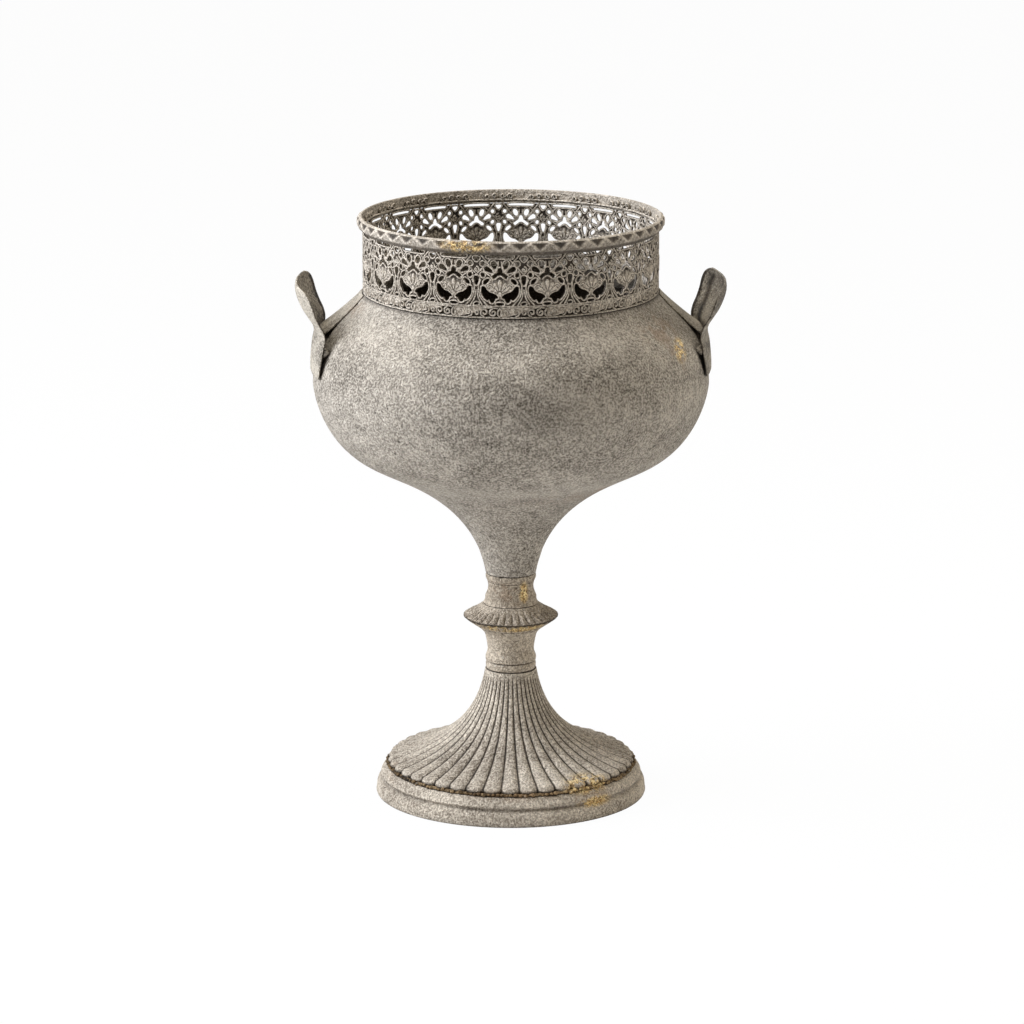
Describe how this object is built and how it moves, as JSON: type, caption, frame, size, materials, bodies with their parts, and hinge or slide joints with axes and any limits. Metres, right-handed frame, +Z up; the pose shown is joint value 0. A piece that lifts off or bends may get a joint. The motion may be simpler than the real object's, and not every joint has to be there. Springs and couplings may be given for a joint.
{
  "type": "footed planter urn",
  "caption": "Footed metal planter urn: round bowl with a pierced gallery and studded rim, two lug handles, a knopped stem and a fluted, flared foot.",
  "frame": {"origin": "centre of the foot's underside", "axes": "+Z up along the stem, handles on +X and -X, front towards -Y"},
  "size_m": [0.2606, 0.2406, 0.3599],
  "materials": {
    "bowl_patina": "matt granular grey patina",
    "gallery_patina": "matt grey patina, worn to brass in places",
    "handle_patina": "matt dark grey patina",
    "stem_patina": "matt grey patina, worn to brass in places",
    "foot_patina": "matt grey patina, worn to brass in places",
    "inner_steel": "plain zinc plate"
  },
  "bodies": {
    "root": {"bowl_shell": "bowl_patina", "gallery_band": "gallery_patina", "rim_bead": "gallery_patina", "shoulder_plate_left": "handle_patina", "shoulder_plate_right": "handle_patina", "handle_left": "handle_patina", "handle_right": "handle_patina", "handle_weld_left": "handle_patina", "handle_weld_right": "handle_patina", "neck_collar": "stem_patina", "upper_spool": "stem_patina", "knop_disc": "stem_patina", "lower_spool": "stem_patina", "lower_collar": "stem_patina", "foot_shell": "foot_patina", "bead_ring": "foot_patina", "plinth_ring": "foot_patina", "tie_rod": "inner_steel", "bowl_washer": "inner_steel", "bowl_nut": "inner_steel", "foot_washer": "inner_steel", "foot_nut": "inner_steel"}
  },
  "joints": []
}
